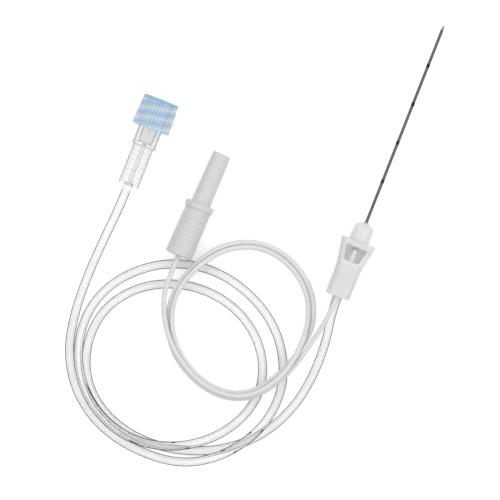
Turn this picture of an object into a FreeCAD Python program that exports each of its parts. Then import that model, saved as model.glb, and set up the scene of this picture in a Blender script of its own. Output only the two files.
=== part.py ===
# Insulated nerve block needle with its injection tube, capped connector, electrical lead and plug.
# Millimetres, +Z up, the table at z = 0, +Y along the needle to its tip.
# The origin lies on the table under the middle of the needle and its hub.
import FreeCAD, Part
import math
import os

from FreeCAD import Vector

# Needle
needle_length = 51.2
cannula_diameter = 0.70
cannula_bore = 0.42
bevel_angle = 34.0
facet_angle = 46.0
facet_turn = 40.0
bare_tip_length = 1.1
coating_thickness = 0.035
mark_count = 4
mark_pitch = 10.0
mark_length = 0.9
mark_thickness = 0.04

# Hub, outside
hub_height = 6.8
nose_length = 4.8
nose_diameter = 4.86
nose_shoulder_length = 1.3
nose_shoulder_bulge = 0.15
nose_face_diameter = 2.6
grip_length = 14.25
rim_width = 8.5
rim_length = 1.1
rim_step = 0.1
shoulder_width = 8.25
waist_width = 6.1
waist_from_rim = 5.9
rear_width = 5.95
grip_corner = 1.8

# Hub, inside
side_wall = 0.95
roof_wall = 0.6
floor_wall = 0.5
front_wall = 1.55
inner_corner = 0.9
window_length = 3.8
window_front_width = 5.5
window_rear_width = 4.2
window_corner = 0.8
window_to_core = 0.4
spigot_diameter = 1.2
spigot_round = 0.3
spigot_gap = 0.5
nose_stem_diameter = 3.4
well_diameter = 1.4
well_depth = 1.2
bead_rise = 0.15
coating_in_nose = 2.5
cannula_in_core = 0.8
passage_diameter = 0.5
tube_in_hub = 4.0

# Soldered conductor
conductor_diameter = 0.3
solder_diameter = 1.0
solder_length = 0.3
conductor_offset = 0.6
conductor_rise = 0.4

# Injection tube and electrical lead; the lead leaves the hub above the tube
tube_diameter = 2.2
lead_diameter = 1.2
lead_over_tube = 0.2

# Luer connector, along its own axis from its rear face
luer_x = -56.75
luer_rear_y = -28.65
luer_rear_diameter = 5.3
rib_count = 8
rib_pitch = 1.24
rib_gap = 0.5
rib_depth = 0.12
shoulder_length = 0.8
shoulder_diameter = 5.95
barrel_length = 10.15
barrel_diameter = 5.8
mouth_diameter = 4.27
luer_taper = 0.06
socket_depth = 10.4
socket_round = 1.6
luer_passage = 1.1
tube_in_luer = 3.0
lug_diameter = 7.75
lug_width = 3.0
lug_length = 1.4
lug_setback = 0.2

# Cap
cap_length = 7.5
cap_rim_diameter = 9.35
cap_top_diameter = 8.9
cap_rib_count = 36
cap_rib_height = 0.17
cap_rib_share = 0.45
cap_end_length = 0.6
cap_end_chamfer = 0.2
cap_bore = 7.95
cap_end_wall = 1.0
cap_cone_setback = 0.2
cone_clearance = 0.05
mouth_clearance = 0.2

# Plug, along its own axis from its rear face
plug_x = -39.27
plug_rear_y = -40.05
plug_turn = 1.76
plug_grip_length = 12.1
plug_grip_rear_diameter = 6.8
plug_grip_front_diameter = 6.4
plug_grip_round = 0.7
ring_diameter = 7.1
ring_length = 1.5
ring_round = 0.25
plug_nose_length = 13.1
plug_nose_base_diameter = 4.8
plug_nose_tip_diameter = 4.4
plug_nose_round = 0.35
plug_stem_diameter = 4.4
plug_stem_length = 3.8
plug_mouth_diameter = 2.0
contact_setback = 1.45
contact_diameter = 2.5
contact_bore = 1.5
contact_bore_length = 9.0
contact_length = 15.5
crimp_depth = 3.0
crimp_diameter = 0.8
lead_in_plug = 2.7

# Places along the needle, worked out from the lengths
tip_y = (needle_length + nose_length + grip_length) / 2.0
nose_front_y = tip_y - needle_length
grip_front_y = nose_front_y - nose_length
hub_rear_y = grip_front_y - grip_length
cavity_front_y = grip_front_y - front_wall
shoulder_y = grip_front_y - rim_length
waist_y = shoulder_y - waist_from_rim
core_front_y = cavity_front_y - window_length - window_to_core
spigot_front_y = cavity_front_y - spigot_gap
solder_y = (cavity_front_y + spigot_front_y) / 2.0
cannula_rear_y = core_front_y - cannula_in_core
tube_start_y = hub_rear_y + tube_in_hub
coating_rear_y = nose_front_y - coating_in_nose
axis_z = hub_height / 2.0
lead_height = axis_z + (tube_diameter + lead_diameter) / 2.0 + lead_over_tube
coated_diameter = cannula_diameter + 2.0 * coating_thickness

# Places along the connector's own axis
rib_section = rib_count * rib_pitch
barrel_from = rib_section + shoulder_length
mouth_at = barrel_from + barrel_length
cap_inner_end = mouth_at + mouth_clearance
cap_end = cap_inner_end + cap_end_wall
cap_rim = cap_end - cap_length
luer_z = cap_rim_diameter / 2.0

# Places along the plug's own axis
plug_z = ring_diameter / 2.0
ring_from = plug_grip_length
ring_to = ring_from + ring_length
plug_tip = ring_to + plug_nose_length
contact_to = plug_tip - contact_setback
contact_from = contact_to - contact_length
stem_from = ring_from - plug_stem_length


def luer_point(along):
    """The point of the connector's axis that lies this far in front of its rear face."""
    return (luer_x, luer_rear_y + along, luer_z)


def plug_point(along):
    """The point of the plug's axis that lies this far in front of its rear face."""
    turn = math.radians(plug_turn)
    return (plug_x + along * math.sin(turn), plug_rear_y + along * math.cos(turn), plug_z)


# Routes of the two cords, chosen by hand over the photograph
tube_route = [
    (0.0, tube_start_y, axis_z), (0.0, -38.5, axis_z), (1.55, -46.2, 1.9), (1.75, -54.6, 1.1),
    (0.4, -63.5, 1.1), (-4.0, -72.6, 1.1), (-11.6, -79.6, 1.1), (-20.8, -83.8, 1.1),
    (-31.2, -85.1, 1.1), (-40.5, -83.0, 1.1), (-47.9, -77.9, 1.1), (-52.1, -69.5, 1.1),
    (-52.0, -60.2, 1.1), (-47.8, -52.8, 1.1), (-40.5, -47.4, 1.1), (-30.7, -45.1, 1.1),
    (-20.6, -47.0, 1.1), (-12.6, -53.0, 1.1), (-8.6, -61.9, 1.1), (-10.1, -70.9, 1.1),
    (-16.0, -79.1, 2.0), (-25.1, -84.4, 3.6), (-35.3, -85.6, 3.6), (-45.1, -81.8, 3.6),
    (-51.7, -74.8, 3.6), (-54.8, -66.3, 2.7), (-54.4, -57.4, 1.1), (-50.0, -49.3, 1.1),
    (-41.8, -42.7, 1.1), (-31.3, -39.9, 1.1), (-20.2, -41.9, 1.1), (-10.7, -47.7, 1.1),
    (-5.1, -56.4, 1.1), (-3.8, -64.8, 1.1), (-5.9, -73.2, 3.6), (-12.1, -81.8, 3.6),
    (-21.0, -87.1, 1.1), (-32.2, -87.7, 1.1), (-42.2, -85.4, 1.1), (-50.4, -79.8, 1.1),
    (-55.7, -71.6, 1.1), (-57.7, -62.0, 1.1), (-58.0, -52.0, 1.1), (-57.5, -42.6, 2.5),
    luer_point(-5.45), luer_point(tube_in_luer),
]
lead_route = [
    (0.0, tube_start_y, lead_height), (0.0, -38.5, lead_height), (-1.2, -46.0, 3.5), (-2.6, -51.8, 2.4),
    (-4.5, -57.8, 3.3), (-9.1, -64.8, 3.3), (-15.5, -68.1, 1.8), (-23.6, -67.4, 0.6),
    (-31.3, -63.3, 0.6), (-36.0, -56.7, 0.6), (-37.5, -48.5, 3.3), (-34.9, -40.3, 3.3),
    (-30.2, -33.4, 1.6), (-22.2, -29.4, 0.6), (-13.2, -30.6, 0.6), (-5.9, -36.0, 0.6),
    (-2.6, -43.6, 0.6), (-3.5, -50.4, 2.2), (-5.7, -57.1, 3.4), (-10.0, -63.8, 3.3),
    (-15.8, -66.8, 1.8), (-23.3, -66.1, 0.6), (-30.3, -62.2, 0.7), (-35.1, -56.2, 1.55),
    (-36.7, -48.5, 4.35), (-34.2, -40.9, 4.35), (-29.4, -34.3, 2.2), (-22.0, -30.7, 0.6),
    (-13.6, -31.9, 0.6), (-6.9, -36.9, 0.6), (-3.9, -43.8, 1.2), (-3.8, -50.6, 3.7),
    (-5.1, -57.5, 4.7), (-9.5, -64.4, 4.55), (-15.7, -67.5, 2.95), (-23.5, -66.8, 1.75),
    (-30.9, -62.8, 1.9), (-36.1, -57.1, 2.2), (-39.35, -50.0, 3.3), plug_point(-3.7),
    plug_point(lead_in_plug),
]

# Route of the bare wire inside the hub, clear of the passage and the cannula
conductor_route = [
    (0.0, tube_start_y, lead_height), (0.0, tube_start_y + 1.1, lead_height),
    (-1.2, tube_start_y + 2.2, 3.9), (-0.9, tube_start_y + 3.6, 2.0), (-0.3, core_front_y + 0.8, 1.7),
    (-conductor_offset, solder_y, 2.3), (-conductor_offset, solder_y, axis_z + conductor_rise),
]

along_y = Vector(0, 1, 0)


def rod(diameter, y_from, y_to, z=axis_z):
    """A round bar along Y."""
    return Part.makeCylinder(diameter / 2.0, y_to - y_from, Vector(0, y_from, z), along_y)


def turned(outline, z=axis_z):
    """A solid turned about Y. The outline holds (diameter, y) corners; a pair of them is an arc."""
    def place(corner):
        return Vector(corner[0] / 2.0, corner[1], z)

    edges = []
    last = place(outline[0])
    for item in list(outline[1:]) + [outline[0]]:
        if isinstance(item[0], tuple):
            end = place(item[1])
            edges.append(Part.Arc(last, place(item[0]), end).toShape())
        else:
            end = place(item)
            edges.append(Part.makeLine(last, end))
        last = end
    face = Part.Face(Part.Wire(edges))
    return face.revolve(Vector(0, 0, z), along_y, 360)


def quarter(start, end, bulge_at_start):
    """The middle point of a quarter ellipse between two corners of an outline."""
    low = 1.0 - math.sqrt(0.5)
    high = math.sqrt(0.5)
    first, second = (high, low) if bulge_at_start else (low, high)
    return (start[0] + first * (end[0] - start[0]), start[1] + second * (end[1] - start[1]))


def bowed(start, end, bulge):
    """The middle point of a slanted corner of an outline that bulges outward by this much."""
    across = (end[0] - start[0]) / 2.0
    along = end[1] - start[1]
    length = math.hypot(across, along)
    return ((start[0] + end[0]) / 2.0 + 2.0 * bulge * along / length,
            (start[1] + end[1]) / 2.0 - bulge * across / length)


def rounded_section(width, y, bottom, top, corner):
    """A rounded rectangle across the hub at y."""
    half = width / 2.0
    inset = corner * (1.0 - math.sqrt(0.5))
    edges = []
    for side_x, side_z in ((1, 1), (-1, 1), (-1, -1), (1, -1)):
        corner_x = side_x * half
        corner_z = top if side_z > 0 else bottom
        on_side = Vector(corner_x, y, corner_z - side_z * corner)
        on_level = Vector(corner_x - side_x * corner, y, corner_z)
        middle = Vector(corner_x - side_x * inset, y, corner_z - side_z * inset)
        ends = (on_side, on_level) if side_x == side_z else (on_level, on_side)
        edges.append((ends[0], middle, ends[1]))
    wire = []
    for number, (start, middle, end) in enumerate(edges):
        wire.append(Part.Arc(start, middle, end).toShape())
        wire.append(Part.makeLine(end, edges[(number + 1) % 4][0]))
    return Part.Wire(wire)


def grip_width(y):
    """The outer width of the grip behind its rim."""
    if y > waist_y:
        share = (y - waist_y) / (shoulder_y - waist_y)
        return waist_width + share * (shoulder_width - waist_width)
    share = (waist_y - y) / (waist_y - hub_rear_y)
    return waist_width + share * (rear_width - waist_width)


def grip_inside():
    """The hollow of the grip housing, from its front wall to its open rear."""
    stations = [cavity_front_y, waist_y, hub_rear_y]
    top = hub_height - rim_step - roof_wall
    wires = [rounded_section(grip_width(y) - 2.0 * side_wall, y, floor_wall, top, inner_corner)
             for y in stations]
    return Part.makeLoft(wires, True, True)


def window_opening():
    """The opening in the roof of the grip, narrower and rounded at its rear."""
    front = window_front_width / 2.0
    rear = window_rear_width / 2.0
    rear_y = cavity_front_y - window_length
    inset = window_corner * (1.0 - math.sqrt(0.5))
    bottom = hub_height - rim_step - roof_wall - 0.5 * roof_wall

    def at(x, y):
        return Vector(x, y, bottom)

    edges = [
        Part.makeLine(at(-front, cavity_front_y), at(front, cavity_front_y)),
        Part.makeLine(at(front, cavity_front_y), at(rear, rear_y + window_corner)),
        Part.Arc(at(rear, rear_y + window_corner), at(rear - inset, rear_y + inset),
                 at(rear - window_corner, rear_y)).toShape(),
        Part.makeLine(at(rear - window_corner, rear_y), at(window_corner - rear, rear_y)),
        Part.Arc(at(window_corner - rear, rear_y), at(inset - rear, rear_y + inset),
                 at(-rear, rear_y + window_corner)).toShape(),
        Part.makeLine(at(-rear, rear_y + window_corner), at(-front, cavity_front_y)),
    ]
    return Part.Face(Part.Wire(edges)).extrude(Vector(0, 0, 2.0 * roof_wall + rim_step))


def bevel_cutter(angle, low):
    """A wedge that grinds the top off the tip; its plane passes the given depth at the tip."""
    slope = math.tan(math.radians(angle))
    reach = cannula_diameter
    points = [
        Vector(-reach, tip_y + reach / slope, -low - reach),
        Vector(-reach, tip_y - (low + reach) / slope, reach),
        Vector(-reach, tip_y + 2.0 * reach / slope, reach),
    ]
    face = Part.Face(Part.makePolygon(points + points[:1]))
    return face.extrude(Vector(2.0 * reach, 0, 0))


def make_cannula():
    """The steel tube with a bevel and two side facets, its heel upward."""
    tube = rod(cannula_diameter, cannula_rear_y, tip_y)
    tube = tube.cut(rod(cannula_bore, cannula_rear_y, tip_y))
    low = cannula_diameter / 2.0
    cutters = [bevel_cutter(bevel_angle, low)]
    for side in (-1, 1):
        facet = bevel_cutter(facet_angle, low * math.cos(math.radians(facet_turn)))
        facet.rotate(Vector(0, 0, 0), along_y, side * facet_turn)
        cutters.append(facet)
    for cutter in cutters:
        cutter.translate(Vector(0, 0, axis_z))
        tube = tube.cut(cutter)
    return tube


def make_coating():
    """The insulating sleeve, from inside the nose to just behind the bevel."""
    front = tip_y - bare_tip_length
    sleeve = rod(coated_diameter, coating_rear_y, front)
    return sleeve.cut(rod(cannula_diameter, coating_rear_y, front))


def make_mark(number):
    """One printed depth mark; its near edge is a whole number of pitches from the tip."""
    front = tip_y - number * mark_pitch
    band = rod(coated_diameter + 2.0 * mark_thickness, front - mark_length, front)
    return band.cut(rod(coated_diameter, front - mark_length, front))


def make_nose():
    """The round nose with its adhesive well and the stem that seats in the grip's front wall."""
    shoulder = (nose_diameter, nose_front_y - nose_shoulder_length)
    face = (nose_face_diameter, nose_front_y)
    return turned([
        (cannula_diameter, cavity_front_y), (nose_stem_diameter, cavity_front_y),
        (nose_stem_diameter, grip_front_y), (nose_diameter, grip_front_y),
        shoulder, (bowed(shoulder, face, nose_shoulder_bulge), face),
        (well_diameter, nose_front_y), (coated_diameter, nose_front_y - well_depth),
        (coated_diameter, coating_rear_y), (cannula_diameter, coating_rear_y),
    ])


def make_bead():
    """The adhesive that fills the well round the cannula."""
    top = (well_diameter, nose_front_y)
    crown = (coated_diameter, nose_front_y + bead_rise)
    return turned([
        (coated_diameter, nose_front_y - well_depth), top,
        (quarter(top, crown, False), crown),
    ])


def make_grip():
    """The hollow grip with its rim, its window and the hole for the nose."""
    top = hub_height - rim_step
    rim = Part.makeLoft([rounded_section(rim_width, y, 0.0, hub_height, grip_corner)
                         for y in (grip_front_y, shoulder_y)], True, True)
    body = Part.makeLoft([rounded_section(grip_width(y), y, 0.0, top, grip_corner)
                          for y in (shoulder_y, waist_y, hub_rear_y)], True, True)
    grip = rim.fuse(body)
    grip = grip.cut(grip_inside())
    grip = grip.cut(rod(nose_stem_diameter, cavity_front_y, grip_front_y))
    return grip.cut(window_opening())


def make_core(conductor):
    """The core that fills the rear of the grip: tube seat, lead seat and the spigot in the window."""
    slab = Part.makeBox(rim_width, core_front_y - hub_rear_y, hub_height,
                        Vector(-rim_width / 2.0, hub_rear_y, 0))
    core = grip_inside().common(slab)
    round_from = (spigot_diameter, spigot_front_y - spigot_round)
    round_to = (spigot_diameter - 2.0 * spigot_round, spigot_front_y)
    spigot = turned([
        (0.0, cannula_rear_y), (spigot_diameter, cannula_rear_y), round_from,
        (quarter(round_from, round_to, False), round_to), (0.0, spigot_front_y),
    ])
    core = core.fuse(spigot)
    cutters = [
        rod(tube_diameter, hub_rear_y, tube_start_y),
        rod(lead_diameter, hub_rear_y, tube_start_y, lead_height),
        rod(passage_diameter, tube_start_y, cannula_rear_y),
        rod(cannula_diameter, cannula_rear_y, spigot_front_y),
        conductor,
    ]
    for cutter in cutters:
        core = core.cut(cutter)
    return core


def cord_path(points, say):
    """Straight runs joined by tangent arcs, each arc as large as its two runs allow."""
    corners = [Vector(*point) for point in points]
    edges = []
    radii = []
    start = corners[0]
    for before, corner, after in zip(corners, corners[1:], corners[2:]):
        back = before - corner
        ahead = after - corner
        reach = 0.45 * min(back.Length, ahead.Length)
        half_turn = (math.pi - back.getAngle(ahead)) / 2.0
        radius = reach / math.tan(half_turn)
        radii.append(radius)
        back.normalize()
        ahead.normalize()
        inward = back + ahead
        inward.normalize()
        middle = corner + inward * (radius / math.cos(half_turn) - radius)
        arc_start = corner + back * reach
        arc_end = corner + ahead * reach
        edges.append(Part.LineSegment(start, arc_start).toShape())
        edges.append(Part.Arc(arc_start, middle, arc_end).toShape())
        start = arc_end
    edges.append(Part.LineSegment(start, corners[-1]).toShape())
    if say:
        print(say, "radii", " ".join("%.1f" % radius for radius in radii))
    return Part.Wire(edges)


def swept_cord(points, diameter, say=""):
    """A round bar along a cord's path, checked against its section times its length."""
    path = cord_path(points, say)
    start = Vector(*points[0])
    heading = Vector(*points[1]) - start
    circle = Part.Wire([Part.makeCircle(diameter / 2.0, start, heading)])
    cord = path.makePipeShell([circle], True, False)
    if say:
        expected = math.pi * diameter ** 2 / 4.0 * path.Length
        print(say, "length %.1f volume %.3f expected %.3f" % (path.Length, cord.Volume, expected))
    return cord


def make_conductor():
    """The bare wire from the lead's end, down past the tube, under the spigot and up to the solder."""
    return swept_cord(conductor_route, conductor_diameter)


def make_solder(conductor):
    """The drop of solder between the wire and the cannula, in the gap before the spigot."""
    ends = (solder_y - solder_length / 2.0, solder_y + solder_length / 2.0)
    drop = rod(solder_diameter, *ends)
    drop = drop.cut(rod(cannula_diameter, *ends))
    return drop.cut(conductor)


def on_luer_axis(shape):
    """Moves a piece made along Y from the origin onto the connector's axis."""
    shape.translate(Vector(*luer_point(0.0)))
    return shape


def socket_diameter(along):
    """The diameter of the connector's tapered socket."""
    return mouth_diameter - luer_taper * (mouth_at - along)


def make_connector():
    """The clear connector: ribbed rear, shoulder, barrel with two lugs and a tapered socket."""
    outside = [(tube_diameter, 0.0)]
    for rib in range(rib_count):
        rear = rib * rib_pitch
        outside.append((luer_rear_diameter, rear))
        outside.append((luer_rear_diameter, rear + rib_pitch - rib_gap))
        outside.append((luer_rear_diameter - 2.0 * rib_depth, rear + rib_pitch - rib_gap))
        outside.append((luer_rear_diameter - 2.0 * rib_depth, rear + rib_pitch))
    outside += [
        (shoulder_diameter, rib_section), (shoulder_diameter, barrel_from),
        (barrel_diameter, barrel_from), (barrel_diameter, mouth_at),
    ]
    bottom = mouth_at - socket_depth
    round_to = (luer_passage, bottom)
    round_from = (socket_diameter(bottom + socket_round), bottom + socket_round)
    inside = [
        (mouth_diameter, mouth_at), round_from,
        (quarter(round_from, round_to, False), round_to),
        (luer_passage, tube_in_luer), (tube_diameter, tube_in_luer),
    ]
    connector = turned(outside + inside, 0.0)
    lug_front = mouth_at - lug_setback
    lugs = rod(lug_diameter, lug_front - lug_length, lug_front, 0.0)
    across = Part.makeBox(lug_diameter, lug_length, lug_width,
                          Vector(-lug_diameter / 2.0, lug_front - lug_length, -lug_width / 2.0))
    lugs = lugs.common(across).cut(rod(barrel_diameter, lug_front - lug_length, lug_front, 0.0))
    return on_luer_axis(connector.fuse(lugs).removeSplitter())


def fluted_outline(diameter, along):
    """The cap's outline across its axis, with a flat-topped rib for each share of the turn."""
    tip = diameter / 2.0
    valley = tip - cap_rib_height
    points = []
    for rib in range(cap_rib_count):
        for share, radius in ((0.0, tip), (cap_rib_share, tip), (cap_rib_share, valley), (1.0, valley)):
            angle = 2.0 * math.pi * (rib + share) / cap_rib_count
            points.append(Vector(radius * math.cos(angle), along, radius * math.sin(angle)))
    return Part.makePolygon(points + points[:1])


def make_cap():
    """The closed cap, wider at its rim, with ribs outside and a tapered plug that seals the socket."""
    ribs_to = cap_end - cap_end_length
    fluted = Part.makeLoft([fluted_outline(cap_rim_diameter, cap_rim),
                            fluted_outline(cap_top_diameter, ribs_to)], True, True)
    end = cap_top_diameter - 2.0 * cap_rib_height
    cover = turned([
        (0.0, ribs_to), (end, ribs_to), (end, cap_end - cap_end_chamfer),
        (end - 2.0 * cap_end_chamfer, cap_end), (0.0, cap_end),
    ], 0.0)
    cap = fluted.fuse(cover).cut(rod(cap_bore, cap_rim, cap_inner_end, 0.0))
    cone_from = cap_rim + cap_cone_setback
    cone = turned([
        (0.0, cone_from), (socket_diameter(cone_from) - 2.0 * cone_clearance, cone_from),
        (socket_diameter(cap_inner_end) - 2.0 * cone_clearance, cap_inner_end), (0.0, cap_inner_end),
    ], 0.0)
    return on_luer_axis(cap.fuse(cone))


def on_plug_axis(shape):
    """Turns a piece made along Y from the origin onto the plug's axis."""
    shape.rotate(Vector(0, 0, 0), Vector(0, 0, 1), -plug_turn)
    shape.translate(Vector(*plug_point(0.0)))
    return shape


def make_shroud():
    """The plug's insulating nose, its ring and the stem inside the grip, in one piece."""
    ring_in = ring_diameter - 2.0 * ring_round
    rear_edge = (ring_diameter, ring_from + ring_round)
    front_edge = (ring_diameter, ring_to - ring_round)
    tip_from = (plug_nose_tip_diameter, plug_tip - plug_nose_round)
    tip_to = (plug_nose_tip_diameter - 2.0 * plug_nose_round, plug_tip)
    return on_plug_axis(turned([
        (crimp_diameter, stem_from), (plug_stem_diameter, stem_from),
        (plug_stem_diameter, ring_from), (ring_in, ring_from),
        (quarter((ring_in, ring_from), rear_edge, True), rear_edge), front_edge,
        (quarter(front_edge, (ring_in, ring_to), False), (ring_in, ring_to)),
        (plug_nose_base_diameter, ring_to), tip_from,
        (quarter(tip_from, tip_to, False), tip_to), (plug_mouth_diameter, plug_tip),
        (plug_mouth_diameter, contact_to), (contact_diameter, contact_to),
        (contact_diameter, contact_from), (crimp_diameter, contact_from),
    ], 0.0))


def make_plug_grip():
    """The soft grip moulded over the stem, with a rounded rear where the lead goes in."""
    rear_to = (plug_grip_rear_diameter, plug_grip_round)
    rear_from = (plug_grip_rear_diameter - 2.0 * plug_grip_round, 0.0)
    return on_plug_axis(turned([
        (lead_diameter, 0.0), rear_from,
        (quarter(rear_from, rear_to, True), rear_to), (plug_grip_front_diameter, ring_from),
        (plug_stem_diameter, ring_from), (plug_stem_diameter, stem_from),
        (crimp_diameter, stem_from), (crimp_diameter, lead_in_plug), (lead_diameter, lead_in_plug),
    ], 0.0))


def make_contact():
    """The brass socket for a 1.5 mm pin, with a crimp bore at its rear."""
    bore_end = contact_to - contact_bore_length
    crimp_end = contact_from + crimp_depth
    return on_plug_axis(turned([
        (crimp_diameter, contact_from), (contact_diameter, contact_from),
        (contact_diameter, contact_to), (contact_bore, contact_to),
        (contact_bore, bore_end), (0.0, bore_end), (0.0, crimp_end), (crimp_diameter, crimp_end),
    ], 0.0))


def make_crimped_conductor():
    """The bare strands between the end of the lead and the contact."""
    return on_plug_axis(rod(crimp_diameter, lead_in_plug, contact_from + crimp_depth, 0.0))


def save(name, shape):
    """Checks one sub-part and writes its file."""
    solids = shape.Solids
    box = shape.BoundBox
    print("%-20s solids %d valid %s volume %.3f x %.2f..%.2f y %.2f..%.2f z %.2f..%.2f" % (
        name, len(solids), shape.isValid(), shape.Volume,
        box.XMin, box.XMax, box.YMin, box.YMax, box.ZMin, box.ZMax))
    solid = solids[0] if len(solids) == 1 else shape
    solid.exportStep("parts/" + name + ".step")


def build():
    """Makes and writes every sub-part."""
    os.makedirs("parts", exist_ok=True)
    conductor = make_conductor()
    save("cannula", make_cannula())
    save("insulation_coating", make_coating())
    for number in range(1, mark_count + 1):
        save("depth_mark_%dmm" % round(number * mark_pitch), make_mark(number))
    save("nose_piece", make_nose())
    save("adhesive_bead", make_bead())
    save("grip_housing", make_grip())
    save("hub_core", make_core(conductor))
    save("conductor_end", conductor)
    save("solder_joint", make_solder(conductor))
    save("injection_tube", swept_cord(tube_route, tube_diameter, "tube"))
    save("luer_connector", make_connector())
    save("luer_cap", make_cap())
    save("electrical_lead", swept_cord(lead_route, lead_diameter, "lead"))
    save("plug_shroud", make_shroud())
    save("plug_grip", make_plug_grip())
    save("contact_socket", make_contact())
    save("crimped_conductor", make_crimped_conductor())


build()
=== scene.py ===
# Looks of the nerve block needle: camera, cords, dressed pieces, materials and studio.
import math

import bmesh
import bpy
from mathutils import Matrix, Vector


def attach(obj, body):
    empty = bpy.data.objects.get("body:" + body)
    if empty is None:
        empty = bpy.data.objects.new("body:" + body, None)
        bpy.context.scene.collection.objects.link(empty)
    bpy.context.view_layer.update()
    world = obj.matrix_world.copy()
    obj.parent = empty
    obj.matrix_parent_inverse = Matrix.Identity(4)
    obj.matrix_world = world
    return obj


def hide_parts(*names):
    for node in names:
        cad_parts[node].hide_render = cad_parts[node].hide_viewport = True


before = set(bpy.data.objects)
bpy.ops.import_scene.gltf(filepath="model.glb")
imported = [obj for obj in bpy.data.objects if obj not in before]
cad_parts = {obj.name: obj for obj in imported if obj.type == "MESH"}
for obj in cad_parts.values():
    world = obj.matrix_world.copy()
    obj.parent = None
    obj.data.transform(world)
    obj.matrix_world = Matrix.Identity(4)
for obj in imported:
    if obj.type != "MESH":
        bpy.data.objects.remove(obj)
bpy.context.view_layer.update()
scene = bpy.context.scene

MM = 0.001
MERGE = 1e-7
TURN_STEPS = 96
SET = "needle_set"
CAP = "cap"

# Places and sizes in millimetres, as in the part's source
AXIS_Z = 3.4
NOSE_FRONT_Y = -16.075
GRIP_FRONT_Y = -20.875
CAVITY_FRONT_Y = -22.425
CORE_FRONT_Y = -26.625
COATING_REAR_Y = -18.575
NEEDLE_RADIUS = 0.35
COATED_RADIUS = 0.385
NOSE_RADIUS = 2.43
NOSE_BOSS_RADIUS = 1.7
TUBE_RADIUS = 1.1
TUBE_BORE_RADIUS = 0.6
LEAD_RADIUS = 0.6

# The connector and its cap, along their own axis from the connector's rear face
LUER_REAR = Vector((-56.75, -28.65, 4.675))
RIB_COUNT = 8
RIB_PITCH = 1.24
RIB_SECTION = 9.92
BARREL_FROM = 10.72
MOUTH_AT = 20.87
SOCKET_DEPTH = 10.4
SHOULDER_RADIUS = 2.975
BARREL_RADIUS = 2.9
BARREL_MIDDLE = 18.0
SOCKET_MOUTH_RADIUS = 2.135
SOCKET_END_RADIUS = 1.87
PASSAGE_RADIUS = 0.55
TUBE_SEAT_RADIUS = 1.16
CAP_RIM = 14.57
CAP_END = 22.07
CAP_RIM_RADIUS = 4.675
CAP_TOP_RADIUS = 4.45
CAP_BORE_RADIUS = 3.975
CAP_RIB_COUNT = 36
CAP_RIB_HEIGHT = 0.17
CAP_END_BAND = 0.6

# The plug, along its own axis from its rear face
PLUG_REAR = Vector((-39.27, -40.05, 3.55))
PLUG_TURN = math.radians(1.76)
RING_FROM = 12.1
RING_TO = 13.6
PLUG_TIP = 26.7
LEAD_IN_PLUG = 2.7
GRIP_REAR_RADIUS = 3.4
GRIP_FRONT_RADIUS = 3.2
GRIP_RIB_COUNT = 13
GRIP_RIB_DEPTH = 0.1
RING_RADIUS = 3.55
STEM_RADIUS = 2.2
CONTACT_RADIUS = 1.25
PIN_MOUTH_RADIUS = 1.0
CRIMP_RADIUS = 0.4

# Camera: straight above, turned so that the needle leans as in the photograph
LEAN = math.radians(21.5)
VIEW_CENTRE = Vector((-23.7, -32.44))
VIEW_WIDTH = 120.7
CAMERA_HEIGHT = 900.0


def add_camera():
    """The camera looks straight down on the set."""
    data = bpy.data.cameras.new("overhead_camera")
    data.sensor_width = 36.0
    data.lens = data.sensor_width * CAMERA_HEIGHT / VIEW_WIDTH
    data.clip_start = 0.01
    data.clip_end = 10.0
    camera = bpy.data.objects.new("overhead_camera", data)
    scene.collection.objects.link(camera)
    camera.location = Vector((VIEW_CENTRE.x, VIEW_CENTRE.y, AXIS_Z + CAMERA_HEIGHT)) * MM
    camera.rotation_euler = (0.0, 0.0, LEAN)
    scene.camera = camera


add_camera()

# Routes of the cords in millimetres, the same points as in the part's source
TUBE_ROUTE = [
    (0.0, -31.125, 3.4), (0.0, -38.5, 3.4), (1.55, -46.2, 1.9), (1.75, -54.6, 1.1),
    (0.4, -63.5, 1.1), (-4.0, -72.6, 1.1), (-11.6, -79.6, 1.1), (-20.8, -83.8, 1.1),
    (-31.2, -85.1, 1.1), (-40.5, -83.0, 1.1), (-47.9, -77.9, 1.1), (-52.1, -69.5, 1.1),
    (-52.0, -60.2, 1.1), (-47.8, -52.8, 1.1), (-40.5, -47.4, 1.1), (-30.7, -45.1, 1.1),
    (-20.6, -47.0, 1.1), (-12.6, -53.0, 1.1), (-8.6, -61.9, 1.1), (-10.1, -70.9, 1.1),
    (-16.0, -79.1, 2.0), (-25.1, -84.4, 3.6), (-35.3, -85.6, 3.6), (-45.1, -81.8, 3.6),
    (-51.7, -74.8, 3.6), (-54.8, -66.3, 2.7), (-54.4, -57.4, 1.1), (-50.0, -49.3, 1.1),
    (-41.8, -42.7, 1.1), (-31.3, -39.9, 1.1), (-20.2, -41.9, 1.1), (-10.7, -47.7, 1.1),
    (-5.1, -56.4, 1.1), (-3.8, -64.8, 1.1), (-5.9, -73.2, 3.6), (-12.1, -81.8, 3.6),
    (-21.0, -87.1, 1.1), (-32.2, -87.7, 1.1), (-42.2, -85.4, 1.1), (-50.4, -79.8, 1.1),
    (-55.7, -71.6, 1.1), (-57.7, -62.0, 1.1), (-58.0, -52.0, 1.1), (-57.5, -42.6, 2.5),
    (-56.75, -34.1, 4.675), (-56.75, -28.2, 4.675),
]
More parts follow.
